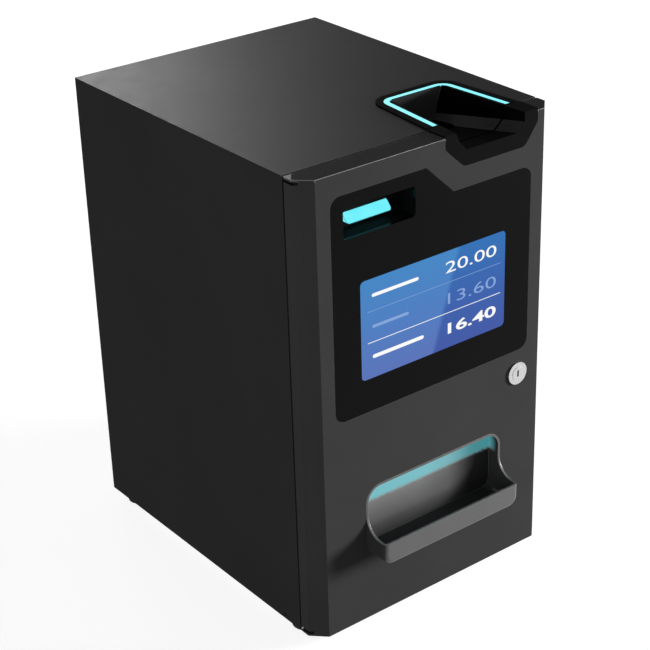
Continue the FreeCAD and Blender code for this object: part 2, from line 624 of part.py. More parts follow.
def make_tray():
    side = [("tray_back + tray_wall", "tray_low"), ("tray_back + tray_wall", "tray_top"),
            ("0", "tray_top"), ("0", "tray_lip"), ("-tray_reach", "tray_lip"), ("-tray_reach", "tray_low")]
    profile = prism("YZ", side, "-tray_half", "tray_half * 2", [((3,), "tray_sweep")])
    front = prism("XZ", tray_outline(0), "-tray_reach - 5", "tray_reach + 30", TRAY_ROUNDS)

    def round_lip(edge):
        points = [vertex.Point for vertex in edge.Vertexes]
        at_front = max(point.y for point in points) < -size("tray_reach") + 0.01
        return at_front and min(point.z for point in points) < size("tray_lip") - 1

    outer = round_edges(common(profile, front), "tray_r_front", round_lip)
    hollow_side = prism("YZ", [("-tray_reach + tray_wall", "tray_floor"), ("tray_back", "tray_floor"),
                               ("tray_back", "tray_top + 5"), ("-tray_reach + tray_wall", "tray_top + 5")],
                        "-tray_half - 5", "tray_half * 2 + 10", [((0,), "5")])
    hollow_front = prism("XZ", rect("-tray_half + tray_wall", "tray_half - tray_wall", "tray_floor",
                                    "tray_top - tray_wall"), "-tray_reach - 5", "60",
                         [((0, 1), "tray_r_low - tray_wall"), ((2, 3), "tray_r_top - tray_wall")])
    hollow_plan = prism("XY", [("-tray_half + tray_wall", "-tray_reach + tray_wall"),
                               ("tray_half - tray_wall", "-tray_reach + tray_wall"),
                               ("tray_half - tray_wall", "tray_back"),
                               ("-tray_half + tray_wall", "tray_back")],
                        "tray_low - 5", "100", [((0, 1), "tray_r_front - tray_wall")])
    hollow = common(common(hollow_side, hollow_front), hollow_plan)
    mouth = box("drop_left", "drop_right", "4.2", "tray_back - 2", "tray_top - 6", "tray_top + 5")
    flange = cut(box("-tray_half - 5", "tray_half + 5", "door_wall + loose", "door_wall + 2",
                     "tray_low - 4", "tray_top + 5"),
                 prism("XZ", tray_outline(1), "-5", "20", TRAY_ROUNDS))
    node("coin_tray", cut(fuse(outer, flange), hollow, mouth))
    node("coin_tray_light", box("-tray_half + 19", "tray_half - 19", "tray_back - 2", "tray_back",
                                "tray_top - tray_wall - 3", "tray_top - tray_wall"))


def make_door_chute():
    """Duct in the door that takes coins from the cabinet and drops them in the tray."""
    outer = box("drop_left - duct_wall", "drop_right + duct_wall", "3.9", "door_d - 0.4",
                "tray_top + 0.2", "duct_top")
    inner = box("drop_left", "drop_right", "5.4", "door_d - 2.4", "tray_top - 5", "duct_top - duct_wall")
    narrow = box("drop_left", "drop_right", "tray_back - 1", "door_d - 2.4", "tray_top - 5", "tray_top + 4")
    mouth = box("drop_left", "drop_right", "10", "door_d + 5", "hand_low", "duct_top - 2 * duct_wall")
    node("tray_chute", cut(outer, cut(inner, narrow), mouth))


def make_lock():
    head = rod("y", "lock_x", "-1.8", "lock_z", "lock_head_r", "1.7")
    barrel = rod("y", "lock_x", "-1", "lock_z", "barrel_r", "cam_y + 0.5")
    bore = rod("y", "lock_x", "-5", "lock_z", "plug_r + 0.05", "cam_y + 10")
    node("lock_housing", cut(fuse(head, barrel), bore))
    nut = prism("XZ", [("lock_x + %.3f" % (13.5 * math.cos(math.radians(60 * i))),
                        "lock_z + %.3f" % (13.5 * math.sin(math.radians(60 * i)))) for i in range(6)],
                "door_wall + loose", "5")
    node("lock_nut", cut(nut, rod("y", "lock_x", "-5", "lock_z", "barrel_r + 0.05", "30")))
    plug = rod("y", "lock_x", "-2.2", "lock_z", "plug_r", "cam_y + 1.9")
    key_slot = box("lock_x - 1", "lock_x + 1", "-5", "10", "lock_z - 3.6", "lock_z + 3.6")
    node("lock_plug", cut(plug, key_slot))
    arm = prism("XZ", rect("lock_x - cam_w / 2", "lock_x + cam_w / 2", "lock_z - cam_len", "lock_z + 8"),
                "cam_y", "cam_t", [((0, 1, 2, 3), "5")])
    hole = rod("y", "lock_x", "cam_y - 5", "lock_z", "2.6", "12")
    node("lock_cam", cut(arm, hole))
    screw = fuse(rod("y", "lock_x", "cam_y + cam_t + 0.05", "lock_z", "4.5", "2"),
                 rod("y", "lock_x", "cam_y - 0.2", "lock_z", "2.5", "cam_t + 1"))
    node("lock_cam_screw", screw)


# ---------------------------------------------------------------- coin unit

def gear_shape(teeth, thick, bore_r):
    """Spur gear with straight-sided teeth that are slim enough to run free."""
    pitch_r = teeth * size("gear_module") / 2
    root_r = pitch_r - 1.3 * size("gear_module")
    tip_r = pitch_r + 0.8 * size("gear_module")
    step = 2 * math.pi / teeth
    points = []
    for i in range(teeth):
        for turn, radius in ((-0.30, root_r), (-0.12, tip_r), (0.12, tip_r), (0.30, root_r)):
            angle = (i + turn) * step
            points.append(FreeCAD.Vector(radius * math.cos(angle), radius * math.sin(angle), 0))
    wheel = Part.Face(Part.makePolygon(points + points[:1])).extrude(FreeCAD.Vector(0, 0, thick))
    return wheel.cut(Part.makeCylinder(bore_r, thick + 2, FreeCAD.Vector(0, 0, -1)))


def gear(teeth, x, turn, bore_r):
    shape = gear_shape(int(size(teeth)), size("gear_t"), bore_r)
    shape.rotate(FreeCAD.Vector(), FreeCAD.Vector(0, 0, 1), turn)
    shape.translate(FreeCAD.Vector(x, size("disc_y"), size("gear_z")))
    return solid(shape, "gear")


def unit_block(z0, z1):
    return box("disc_x - unit_half", "disc_x + unit_half", "disc_y - unit_half", "disc_y + unit_half",
               z0, z1)


def make_hopper():
    bowl = cut(unit_block("bowl_z", "bowl_z + bowl_h"),
               cone("disc_x", "disc_y", "bowl_z - 0.5", "unit_half - 9", "unit_half - 3", "bowl_h + 1"))
    node("hopper_bowl", bowl)
    chamber = rod("z", "disc_x", "disc_y", "disc_z - 1", "disc_r + 1.5", "30")
    shaft_bore = rod("z", "disc_x", "disc_y", "unit_base_z - 5", "hub_r + 0.05", "30")
    exit_slot = box("drop_left + 8", "drop_right - 2", "disc_y - unit_half - 5", "disc_y - 10",
                    "disc_z - 6", "disc_z + 0.2")
    node("hopper_base", cut(unit_block("unit_base_z", "bowl_z - 0.1"), chamber, shaft_bore, exit_slot))
    holes = [rod("z", "disc_x + %.3f" % (size("coin_ring_r") * math.cos(math.radians(60 * i + 30))),
                 "disc_y + %.3f" % (size("coin_ring_r") * math.sin(math.radians(60 * i + 30))),
                 "disc_z - 5", "coin_hole_r", "20") for i in range(6)]
    plate = rod("z", "disc_x", "disc_y", "disc_z + 0.5", "disc_r", "disc_t")
    dome = cone("disc_x", "disc_y", "disc_z + disc_t", "13", "5", "9")
    bore = rod("z", "disc_x", "disc_y", "disc_z - 5", "hub_r", "12")
    node("coin_disc", cut(fuse(plate, dome), bore, *holes))
    node("disc_shaft", rod("z", "disc_x", "disc_y", "gear_z - 1", "hub_r", "disc_z + 6 - gear_z"))
    node("disc_gear", gear("disc_teeth", size("disc_x"), 0, size("hub_r")))


def pinion_x():
    return size("disc_x") + (size("disc_teeth") + size("pinion_teeth")) * size("gear_module") / 2


def make_coin_drive():
    x = "(disc_x + (disc_teeth + pinion_teeth) * gear_module / 2)"
    half_tooth = 180 / size("pinion_teeth")
    shaft = rod("z", x, "disc_y", "gear_z - 4", "2.5", "gear_t + 5")
    node("motor_pinion", fuse(gear("pinion_teeth", pinion_x(), 180 + half_tooth, 2.4), shaft))
    can = rod("z", x, "disc_y", "gear_z - 48", "15", "40")
    neck = rod("z", x, "disc_y", "gear_z - 8.5", "6", "2")
    socket = rod("z", x, "disc_y", "gear_z - 20", "2.54", "30")
    node("coin_motor", cut(fuse(can, neck), socket))
    plate = unit_block("gear_z - 6.4", "gear_z - 4.4")
    window = rod("z", x, "disc_y", "gear_z - 20", "6.2", "30")
    node("motor_bracket", cut(plate, window))


def make_coin_frame():
    outer_half = "(unit_half + 0.2 + unit_plate_t)"
    block = box("disc_x - " + outer_half, "disc_x + " + outer_half, "disc_y - 40", "disc_y + 40",
                "base_t + 0.2", "bowl_z + 10")
    channel = box("disc_x - unit_half - 0.2", "disc_x + unit_half + 0.2", "0", "cab_d",
                  "base_t + 0.2 + unit_plate_t", "bowl_z + 20")
    windows = box("-100", "200", "disc_y - 25", "disc_y + 25", "60", "230")
    node("coin_unit_frame", cut(block, channel, windows))


def make_exit_chute():
    """Duct from the hopper's side down to the door."""
    rear = "(disc_y - unit_half - 0.2)"
    outer = box("drop_left - 1", "drop_right + 1", "chute_front_y", rear, "chute_low", "chute_high")
    inner = box("drop_left + 1", "drop_right - 1", "chute_front_y + duct_wall", rear + " - duct_wall",
                "chute_low + 6", "chute_high - duct_wall")
    entry = box("drop_left + 7", "drop_right - 1", "chute_front_y + 16", "disc_y", "disc_z - 8",
                "disc_z + 4")
    mouth = box("drop_left + 1", "drop_right - 1", "chute_front_y - 4", "chute_front_y + 11",
                "chute_low + 6", "chute_low + 38")
    node("coin_exit_chute", cut(outer, inner, entry, mouth))
    clamp = cut(box("drop_left - 12", "drop_left - 1.2", "38", "62", "240", "262"),
                box("drop_left - 14", "drop_left - 5", "44", "56", "230", "270"))
    node("coin_sensor", clamp)


# ---------------------------------------------------------------- note unit

def note_block(grow, y0, y1, z0, z1):
    """A block as wide as the note unit, wider on each side by grow."""
    return box("note_x - note_half - (%s)" % grow, "note_x + note_half + (%s)" % grow, y0, y1, z0, z1)


TYRE_STARTS = ("-40", "-7", "26")               # left ends of the three tyres, from note_x


def roller(label, y, z, radius):
    core = rod("x", "note_x - note_half + 0.5", y, z, "axle_r", "note_half * 2 - 1")
    tyres = [rod("x", "note_x + (%s)" % x, y, z, radius, "tyre_w") for x in TYRE_STARTS]
    node(label, fuse(core, *tyres))


def roller_room(y, z, radius):
    """Bearing bores and pockets for one roller."""
    bore = rod("x", "note_x - note_half - 5", y, z, "axle_r + 0.05", "note_half * 2 + 10")
    pockets = [rod("x", "note_x + (%s) - 1" % x, y, z, "(%s) + 1" % radius, "tyre_w + 2")
               for x in TYRE_STARTS]
    return [bore] + pockets


def make_note_unit():
    drive_z = "(note_path_z - drive_r + 0.9)"
    idler_z = "(note_path_z + idler_r + 1.1)"
    hollow_front = "drive_y + 28"
    lower = note_block("0", "path_front", "path_rear", "path_low", PATH)
    lower_hollow = note_block("-path_wall", hollow_front, "path_rear - path_wall", "path_low - 5",
                              PATH + " - path_wall")
    node("note_unit_base", cut(lower, lower_hollow, *roller_room("drive_y", drive_z, "drive_r")))
    upper = note_block("0", "path_front", "path_rear", PATH + " + 2", "path_high")
    upper_hollow = note_block("-path_wall", hollow_front, "path_rear - path_wall",
                              PATH + " + 2 + path_wall", "path_high + 7")
    node("note_unit_cover", cut(upper, upper_hollow, *roller_room("drive_y", idler_z, "idler_r")))
    roller("note_drive_roller", "drive_y", drive_z, "drive_r")
    roller("note_idler_roller", "drive_y", idler_z, "idler_r")


def make_recycler():
    y0, y1 = "(drum_y - drum_r - 8)", "(drum_y + drum_r + 8)"
    plates = note_block("0", y0, y1, "shelf_z", "path_low - loose")
    channel = note_block("-3", "0", "cab_d", "shelf_z + shelf_t", "path_low")
    shelf = box("-%s + loose" % INSIDE, "disc_x - unit_half - 0.2 - unit_plate_t - loose", y0, "shelf_rear",
                "shelf_z", "shelf_z + shelf_t")
    bore = rod("x", "note_x - note_half - 5", "drum_y", "drum_z", "axle_r + 1.05", "note_half * 2 + 10")
    node("note_recycler_frame", cut(fuse(cut(plates, channel), shelf), bore))
    drum = rod("x", "note_x - drum_half", "drum_y", "drum_z", "drum_r", "2 * drum_half")
    grooves = [cut(rod("x", "note_x + (%s)" % x, "drum_y", "drum_z", "drum_r + 2", "4"),
                   rod("x", "note_x + (%s) - 1" % x, "drum_y", "drum_z", "drum_r - 3", "6"))
               for x in ("-24", "-2", "20")]
    spindle = rod("x", "note_x - note_half - 4", "drum_y", "drum_z", "axle_r + 1", "note_half * 2 + 8")
    spindle_bore = rod("x", "note_x - note_half - 4", "drum_y", "drum_z", "axle_r + 1.02",
                       "note_half * 2 + 8")
    node("note_drum", group(cut(drum, spindle_bore, *grooves), spindle))
    motor = rod("x", "note_x - 20", "spool_motor_y", "spool_motor_z", "spool_motor_r", "50")
    boss = rod("x", "note_x + 29", "spool_motor_y", "spool_motor_z", "5", "8")
    foot = box("note_x - 20", "note_x + 30", "spool_motor_y - spool_motor_r",
               "spool_motor_y + spool_motor_r", "shelf_z + shelf_t + loose",
               "spool_motor_z - spool_motor_r + 2")
    node("note_motor", fuse(motor, boss, foot))


def make_cash_box():
    tray = box("cash_left", "cash_right", "cash_front", "cash_rear", "base_t + loose", "cash_top")
    hollow = box("cash_left + cash_wall", "cash_right - cash_wall", "cash_front + cash_wall",
                 "cash_rear - cash_wall", "base_t + cash_wall", "cash_top + 8")
    lid = box("cash_left", "cash_right", "cash_front", "cash_rear", "cash_top + loose",
              "cash_top + loose + cash_wall")
    slot = box("note_x - 41", "note_x + 41", "120", "132", "cash_top - 2", "cash_top + 8")
    grip = cut(box("-84", "-44", "cash_front - 7", "cash_front + 0.1", "96", "112"),
               box("-78", "-50", "cash_front - 4", "cash_front", "90", "120"))
    node("cash_box", fuse(cut(tray, hollow), grip))
    node("cash_box_lid", cut(lid, slot))


# ---------------------------------------------------------------- power and control

def make_power():
    supply = box("supply_left", "supply_right", "supply_front", "supply_rear", "base_t + loose",
                 "supply_top")
    vents = [box("supply_left + %d" % (8 + 12 * i), "supply_left + %d" % (14 + 12 * i),
                 "supply_front + 13", "supply_rear - 13", "supply_top - 1.5", "supply_top + 6")
             for i in range(9)]
    node("power_supply", cut(supply, *vents))
    body = box("inlet_port_x - 13.6", "inlet_port_x + 13.6", BACK + " - 22", BACK + " + 0.1",
               "inlet_port_z - 10", "inlet_port_z + 10")
    lip = prism("XZ", rect("inlet_port_x - 25", "inlet_port_x + 25", "inlet_port_z - 14",
                           "inlet_port_z + 14"), BACK + " + 0.05", "2.4", [((0, 1, 2, 3), "8")])
    socket = box("inlet_port_x - 12", "inlet_port_x + 12", BACK + " - 16", "cab_d + 5",
                 "inlet_port_z - 8.2", "inlet_port_z + 8.2")
    pins = [box("inlet_port_x + (%s) - 1" % x, "inlet_port_x + (%s) + 1" % x, BACK + " - 17",
                BACK + " - 2", "inlet_port_z + (%s) - 2" % z, "inlet_port_z + (%s) + 2" % z)
            for x, z in (("-7", "-2"), ("0", "3"), ("7", "-2"))]
    node("power_inlet", fuse(cut(fuse(body, lip), socket), *pins))
    frame = box("switch_x - 8.8", "switch_x + 8.8", BACK + " - 18", BACK + " + 0.1", "switch_z - 12.8",
                "switch_z + 12.8")
    bezel = box("switch_x - 10.5", "switch_x + 10.5", BACK + " + 0.05", BACK + " + 1.5",
                "switch_z - 14.5", "switch_z + 14.5")
    room = box("switch_x - 7", "switch_x + 7", BACK + " - 14", "cab_d + 5", "switch_z - 11.6",
               "switch_z + 11.6")
    pivot_y = BACK + " - 5"
    bore = rod("x", "switch_x - 8", pivot_y, "switch_z", "1.55", "16")
    node("switch_housing", cut(fuse(frame, bezel), room, bore))
    rocker = prism("YZ", [(pivot_y + " + 7.2", "switch_z - 9.6"), (pivot_y + " + 7.2", "switch_z + 9.6"),
                          (pivot_y + " - 3", "switch_z + 7"), (pivot_y + " - 3", "switch_z - 7")],
                   "switch_x - rocker_half_w", "rocker_half_w * 2")
    pivot = FreeCAD.Vector(0, size("cab_d") - size("panel_inset") - 5, size("switch_z"))
    rocker.Placement = FreeCAD.Placement(
        FreeCAD.Vector(), FreeCAD.Rotation(FreeCAD.Vector(1, 0, 0), size("rocker_tilt")), pivot)
    axle = rod("x", "switch_x - 7.8", pivot_y, "switch_z", "1.5", "15.6")
    node("power_switch", fuse(rocker, axle))


def make_ports():
    blocks = box("port_left + 0.2", "port_right - 0.2", BACK + " - port_depth", BACK,
                 "port_low + 0.2", "port_high - 0.2")
    holes = [box("port_left + " + x0, "port_left + " + x1, BACK + " - port_depth + 4", "cab_d",
                 "port_low + 3", "port_high - 3")
             for x0, x1 in (("3", "17"), ("21", "27"), ("31", "37"), ("42", "61"))]
    node("data_ports", cut(blocks, *holes))


def fan_blade(middle, turn):
    """One tilted blade that runs from inside the hub to past the rotor's rim."""
    blade = Part.makeBox(18, 1.6, 26, FreeCAD.Vector(-9, -0.8, size("fan_hub_r") - 4))
    blade.rotate(FreeCAD.Vector(), FreeCAD.Vector(0, 0, 1), 38)
    blade.rotate(FreeCAD.Vector(), FreeCAD.Vector(0, 1, 0), turn)
    blade.translate(middle)
    return blade


def make_fan():
    rear = "(%s - panel_t - loose)" % BACK
    front = rear + " - fan_depth"
    block = prism("XZ", rect("fan_x - fan_half", "fan_x + fan_half", "fan_z - fan_half",
                             "fan_z + fan_half"), front, "fan_depth", [((0, 1, 2, 3), "4")])
    duct = rod("y", "fan_x", front + " - 1", "fan_z", "fan_r", "fan_depth + 2")
    spokes = [box("fan_x - 2", "fan_x + 2", front, front + " + 3", "fan_z - fan_half + 2",
                  "fan_z + fan_half - 2"),
              box("fan_x - fan_half + 2", "fan_x + fan_half - 2", front, front + " + 3",
                  "fan_z - 2", "fan_z + 2")]
    seat = rod("y", "fan_x", front, "fan_z", "fan_hub_r", "4")
    pin = rod("y", "fan_x", front + " + 3", "fan_z", "2", "14")
    node("fan_frame", fuse(cut(block, duct), seat, pin, *spokes))
    hub = rod("y", "fan_x", front + " + 5", "fan_z", "fan_hub_r", "16")
    bore = rod("y", "fan_x", front, "fan_z", "2.05", "19")
    middle = FreeCAD.Vector(size("fan_x"), size("cab_d") - size("panel_inset") - size("panel_t")
                            - size("loose") - size("fan_depth") + 13, size("fan_z"))
    blades = [solid(fan_blade(middle, 360 * i / 7), "blade") for i in range(7)]
    fence = rod("y", "fan_x", front + " + 5", "fan_z", "rotor_r", "16")
    node("fan_rotor", cut(common(fuse(hub, *blades), fence), bore))


def make_controller():
    board = box("pcb_x", "pcb_x + pcb_t", "pcb_front", "pcb_rear", "pcb_low", "pcb_high")
    chips = [box("pcb_x - 4.4", "pcb_x + 0.2", "pcb_front + %d" % y0, "pcb_front + %d" % y1,
                 "pcb_low + %d" % z0, "pcb_low + %d" % z1)
             for y0, y1, z0, z1 in ((20, 46, 70, 96), (60, 80, 30, 60), (90, 120, 100, 120),
                                    (15, 35, 10, 30), (70, 110, 130, 142))]
    node("controller_board", fuse(board, *chips))
    behind = "(pcb_x + pcb_t + loose)"
    posts = [rod("x", behind, y, z, "3", "%s - %s" % (INSIDE, behind))
             for y in ("pcb_front + 6", "pcb_rear - 6") for z in ("pcb_low + 6", "pcb_high - 6")]
    node("board_standoffs", group(*posts))


def check_and_export():
    doc.recompute()
    failed = [obj.Name for obj in doc.Objects
              if "Invalid" in obj.State or "Error" in obj.State]
    if failed:
        raise RuntimeError("objects that did not compute: %s" % failed)
    os.makedirs("parts", exist_ok=True)
    for obj in node_objects:
        shape = obj.Shape
        if shape.isNull() or not shape.isValid() or not shape.Solids:
            raise RuntimeError("%s has no valid solid" % obj.Label)
    for obj in node_objects:
        obj.Shape.exportStep(os.path.join("parts", obj.Label + ".step"))
    print("nodes", len(node_objects))


make_shell()
make_base()
make_feet()
make_rear_panel()
make_front_frame()
make_hinges()
make_inlet()
make_collar()
make_door_shell()
make_display()
make_note_inlet()
make_tray()
make_door_chute()
make_lock()
make_hopper()
make_coin_drive()
make_coin_frame()
make_exit_chute()
make_note_unit()
make_recycler()
make_cash_box()
make_power()
make_ports()
make_fan()
make_controller()
check_and_export()
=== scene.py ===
"""Looks of the coin changer dispenser: materials, screen picture, light and camera.

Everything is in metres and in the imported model's frame: the door faces -Y and +Z is up.
The levels given to grey() and colour() run from 0 to 255, as in a picture.
"""
import bpy
import math
from mathutils import Matrix, Vector


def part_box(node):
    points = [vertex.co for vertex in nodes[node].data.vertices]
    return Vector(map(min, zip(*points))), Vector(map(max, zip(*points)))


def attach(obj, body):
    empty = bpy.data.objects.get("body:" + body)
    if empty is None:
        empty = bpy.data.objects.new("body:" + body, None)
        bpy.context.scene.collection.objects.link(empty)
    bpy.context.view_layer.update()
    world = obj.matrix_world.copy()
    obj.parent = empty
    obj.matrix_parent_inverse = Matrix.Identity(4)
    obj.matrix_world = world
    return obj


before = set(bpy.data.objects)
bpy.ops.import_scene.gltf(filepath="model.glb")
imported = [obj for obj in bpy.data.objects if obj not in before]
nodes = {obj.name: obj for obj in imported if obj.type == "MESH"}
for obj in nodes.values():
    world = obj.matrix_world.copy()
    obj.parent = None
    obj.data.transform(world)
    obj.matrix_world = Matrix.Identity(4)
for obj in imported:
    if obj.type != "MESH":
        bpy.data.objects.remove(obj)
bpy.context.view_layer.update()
MM = 0.001

# Places on the CAD parts from which the looks are laid out.
DOOR_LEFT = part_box("door_shell")[0][0]
DOOR_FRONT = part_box("door_shell")[0][1]
DOOR_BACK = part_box("door_shell")[1][1]
CABINET_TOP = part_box("cabinet_shell")[1][2]
INLET_X = sum(corner[0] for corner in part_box("coin_inlet_funnel")) / 2
SCREEN_LOW, SCREEN_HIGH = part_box("display_screen")
TRAY_LOW, TRAY_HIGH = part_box("coin_tray")
TRAY_LAMP_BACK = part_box("coin_tray_light")[1][1]


# ---------------------------------------------------------------- node helpers

NOISE_LOW, NOISE_HIGH = 0.3, 0.7                 # nearly all of a noise's values lie between these
EDGE_COSINE, FLAT_COSINE = 0.80, 0.985           # of bevelled and true normal, on an edge and off it


def srgb(value):
    """One colour channel from 0-255 as a linear number."""
    value = value / 255
    return value / 12.92 if value <= 0.04045 else ((value + 0.055) / 1.055) ** 2.4


def colour(red, green, blue):
    return (srgb(red), srgb(green), srgb(blue), 1.0)


def grey(level):
    return colour(level, level, level)


class Shader:
    """A material with one Principled shader and short ways to add nodes to it."""

    def __init__(self, name, base, rough, spec, metallic=0.0):
        self.material = bpy.data.materials.new(name)
        self.material.use_nodes = True
        self.tree = self.material.node_tree
        self.main = self.tree.nodes["Principled BSDF"]
        self.feed(base, "Base Color")
        self.feed(rough, "Roughness")
        self.feed(spec, "Specular IOR Level")
        self.feed(metallic, "Metallic")
        self.base = base
        self.place = None

    def add(self, kind, **inputs):
        made = self.tree.nodes.new(kind)
        for name, value in inputs.items():
            made.inputs[name.replace("_", " ")].default_value = value
        return made

    def link(self, source, target):
        """Links one socket to another. A number or colour is written into the target instead."""
        if isinstance(source, (int, float, tuple)):
            target.default_value = source
        else:
            self.tree.links.new(source, target)

    def feed(self, source, name):
        """Links a socket, number or colour to an input of the Principled shader."""
        self.link(source, self.main.inputs[name])

    def point(self):
        """Object coordinates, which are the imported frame's because every object sits at its origin."""
        if self.place is None:
            self.place = self.add("ShaderNodeTexCoord").outputs["Object"]
        return self.place

    def split(self, vector, name):
        made = self.add("ShaderNodeSeparateXYZ")
        self.link(vector, made.inputs["Vector"])
        return made.outputs[name]

    def axis(self, name):
        """The place along one axis."""
        return self.split(self.point(), name)

    def facing(self, name):
        """How far the surface looks along one of the object's own axes, from -1 to 1."""
        return self.split(self.add("ShaderNodeTexCoord").outputs["Normal"], name)

    def noise(self, scale, detail=3.0, stretch=None):
        made = self.add("ShaderNodeTexNoise", Scale=scale, Detail=detail)
        where = self.point()
        if stretch:
            mapping = self.add("ShaderNodeMapping", Scale=stretch)
            self.link(where, mapping.inputs["Vector"])
            where = mapping.outputs["Vector"]
        self.link(where, made.inputs["Vector"])
        return made.outputs["Fac"]

    def math(self, operation, first, second):
        made = self.add("ShaderNodeMath")
        made.operation = operation
        for socket, source in zip(made.inputs, (first, second)):
            self.link(source, socket)
        return made.outputs["Value"]

    def span(self, fac, low, high, start=0.0, end=1.0):
        """A number that runs from low to high as fac goes from start to end."""
        made = self.add("ShaderNodeMapRange", From_Min=start, From_Max=end, To_Min=low, To_Max=high)
        self.link(fac, made.inputs["Value"])
        return made.outputs["Result"]

    def over(self, source, edge):
        """1 where source is greater than edge, else 0."""
        return self.math("GREATER_THAN", source, edge)

    def under(self, source, edge):
        """1 where source is less than edge, else 0."""
        return self.math("LESS_THAN", source, edge)

    def distance(self, source, middle=0.0):
        """How far source is from middle, to either side."""
        if middle:
            source = self.math("SUBTRACT", source, middle)
        return self.math("ABSOLUTE", source, 0.0)

    def all_of(self, first, *others):
        """The product of several shares."""
        for other in others:
            first = self.math("MULTIPLY", first, other)
        return first

    def any_of(self, first, *others):
        """The greatest of several shares."""
        for other in others:
            first = self.math("MAXIMUM", first, other)
        return first

    def ramp(self, fac, *stops):
        """A colour that changes with fac; stops are (place, colour) pairs."""
        made = self.add("ShaderNodeValToRGB")
        elements = made.color_ramp.elements
        while len(elements) < len(stops):
            elements.new(0.5)
        for element, (place, shade) in zip(elements, stops):
            element.position = place
            element.color = shade
        self.link(fac, made.inputs["Fac"])
        return made.outputs["Color"]

    def mix(self, fac, first, second):
        """A colour that goes from first to second as fac goes from 0 to 1."""
        made = self.add("ShaderNodeMix")
        made.data_type = "RGBA"
        self.link(fac, made.inputs["Factor"])
        for name, source in (("A", first), ("B", second)):
            socket = [item for item in made.inputs if item.name == name and item.type == "RGBA"][0]
            self.link(source, socket)
        return [item for item in made.outputs if item.type == "RGBA"][0]

    def tint(self, scale, amount):
        """Mottles the base colour by a share up and down."""
        low = tuple(channel * (1 - amount) for channel in self.base[:3]) + (1.0,)
        high = tuple(min(1.0, channel * (1 + amount)) for channel in self.base[:3]) + (1.0,)
        shade = self.ramp(self.noise(scale), (NOISE_LOW, low), (NOISE_HIGH, high))
        self.feed(shade, "Base Color")
        return shade

    def roughen(self, scale, low, high):
        self.feed(self.span(self.noise(scale, detail=5.0), low, high, NOISE_LOW, NOISE_HIGH), "Roughness")

    def bump(self, height, distance, strength):
        made = self.add("ShaderNodeBump", Strength=strength, Distance=distance)
        self.link(height, made.inputs["Height"])
        self.feed(made.outputs["Normal"], "Normal")

    def edges(self, reach):
        """1 along the edges, where the bevelled normal differs from the true one, else 0."""
        bevel = self.add("ShaderNodeBevel", Radius=reach)
        geometry = self.add("ShaderNodeNewGeometry")
        cosine = self.add("ShaderNodeVectorMath")
        cosine.operation = "DOT_PRODUCT"
        self.link(bevel.outputs["Normal"], cosine.inputs[0])
        self.link(geometry.outputs["Normal"], cosine.inputs[1])
        return self.span(cosine.outputs["Value"], 1.0, 0.0, EDGE_COSINE, FLAT_COSINE)

    def paint_edge_highlight(self, shade, edge_highlight, reach):
        """Lightens the edges with a painted highlight."""
        mixed = self.mix(self.edges(reach), shade, edge_highlight)
        self.feed(mixed, "Base Color")
        return mixed

    def glow(self, shade, strength):
        """Emission of a colour, or of a socket's colours."""
        self.feed(shade, "Emission Color")
        self.feed(strength, "Emission Strength")


# ---------------------------------------------------------------- coated sheet steel

EDGE_HIGHLIGHT_REACH = 0.9 * MM                             # how far the painted edge highlight reaches from an edge
TOP_HIGHLIGHT_END = 2.5 * MM                          # depth under the top where the top edges' paler painted highlight ends
TOP_HIGHLIGHT_FULL = 1.5 * MM                         # depth under the top down to which it is full
TOP_SKIN = 0.3 * MM                              # the top face lies within this of the highest point
CORNER_WIDTH = 8.5 * MM                            # the pale triangle over the hinge, along the rear edge
CORNER_DEPTH = 11 * MM                             # and along the left side
# grey of the pale triangle painted on the door's top face
PALE_CORNER_GREY = 200


def powder_coat(name, level, rough, spec, edge_highlight, top_edge_highlight=None, pale_corner=False):
    """Fine-textured powder coat on sheet steel, with a painted highlight along its edges.

    The painted highlight can be paler still along the top edges, and a pale triangle can be
    painted on the top face at the corner over the hinge.
    """
    made = Shader(name, grey(level), rough, spec)
    shade = made.tint(scale=9.0, amount=0.05)
    # Painted highlight along the edges, paler still along the top edges.
    painted_light = grey(edge_highlight)
    if top_edge_highlight:
        up = made.span(made.axis("Z"), 0.0, 1.0, CABINET_TOP - TOP_HIGHLIGHT_END, CABINET_TOP - TOP_HIGHLIGHT_FULL)
        painted_light = made.mix(up, painted_light, grey(top_edge_highlight))
    mixed = made.paint_edge_highlight(shade, painted_light, EDGE_HIGHLIGHT_REACH)
    # A pale triangle painted on the top face at the corner over the hinge.
    if pale_corner:
        right = made.span(made.axis("X"), 0.0, 1.0, DOOR_LEFT, DOOR_LEFT + CORNER_WIDTH)
        front = made.span(made.axis("Y"), 1.0, 0.0, DOOR_BACK - CORNER_DEPTH, DOOR_BACK)
        corner = made.all_of(made.under(made.math("ADD", right, front), 1.0),
                             made.over(made.axis("Z"), CABINET_TOP - TOP_SKIN))
        made.feed(made.mix(corner, mixed, grey(PALE_CORNER_GREY)), "Base Color")
    made.roughen(scale=60.0, low=rough - 0.03, high=rough + 0.04)
    made.bump(made.noise(1400.0, detail=2.0), distance=0.02 * MM, strength=0.25)
    return made.material


# ---------------------------------------------------------------- coin inlet

HOLLOW_HALF = 44.5 * MM                          # half the width within which the inlet is hollow
HOLLOW_RIM = 1.6 * MM                            # height over the cabinet's top where the rim begins
HOLLOW_FRONT = 0.3 * MM                          # depths behind the door's front: hollow's front end,
SLOPE_START = 10 * MM                            # start of the slope's painted paling,
SLOPE_END = 100 * MM                             # its end, behind which the rear wall stands,
HOLLOW_BACK = 109.5 * MM                         # and the hollow's rear end
HOLLOW_SHADE_GREY = 9                                  # painted shade: grey of the walls in the hollow
SLOPE_LIT_FRONT, SLOPE_LIT_BACK = 40, 72                  # greys of the slope's painted light at its start and its end
SLOPE_UP = (0.3, 0.4)                            # the slope looks up and to the left: parts of the
SLOPE_LEFT = (-0.4, -0.3)                        # normal between which a face starts to count


